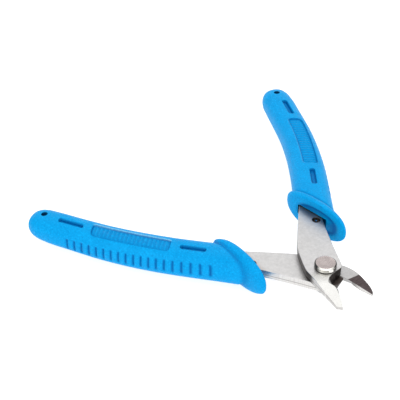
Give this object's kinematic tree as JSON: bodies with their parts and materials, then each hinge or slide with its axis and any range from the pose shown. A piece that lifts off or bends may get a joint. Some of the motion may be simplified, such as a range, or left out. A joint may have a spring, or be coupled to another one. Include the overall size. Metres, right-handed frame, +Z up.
{
  "type": "flush cutter",
  "caption": "Spring-opened flush cutter for fine electronics wire: two stamped steel blades crossing on one pivot, wire return spring and ribbed blue moulded grips.",
  "frame": {"origin": "centre of the open tool's footprint, on the plane it lies on", "axes": "+X from the handles towards the jaws, +Y across the spread handles, +Z up along the pivot, towards its head"},
  "size_m": [0.1126, 0.1284, 0.0179],
  "materials": {
    "upper_blade": "bead-blasted, ground on the jaw bevel",
    "lower_blade": "bead-blasted, ground on the shear face",
    "pivot_bolt": "fine turned face, polished rim",
    "pivot_washer": "plain plated",
    "pivot_nut": "plain plated",
    "return_spring": "drawn spring wire",
    "upper_grip": "satin moulded, fine texture",
    "lower_grip": "satin moulded, fine texture"
  },
  "bodies": {
    "lower_half": {"lower_blade": "lower_blade", "lower_grip": "lower_grip", "pivot_bolt": "pivot_bolt", "pivot_washer": "pivot_washer", "pivot_nut": "pivot_nut", "return_spring": "return_spring"},
    "upper_half": {"upper_blade": "upper_blade", "upper_grip": "upper_grip"}
  },
  "joints": [
    {"name": "pivot_hinge", "type": "hinge", "parent": "lower_half", "child": "upper_half", "pos_m": [0.03782, 0, 0], "axis": [0, 0, 1], "range_deg": [0, 42], "stiffness_Nm_per_rad": 0.45, "springref_deg": -14.32, "deforming": ["return_spring"]}
  ]
}
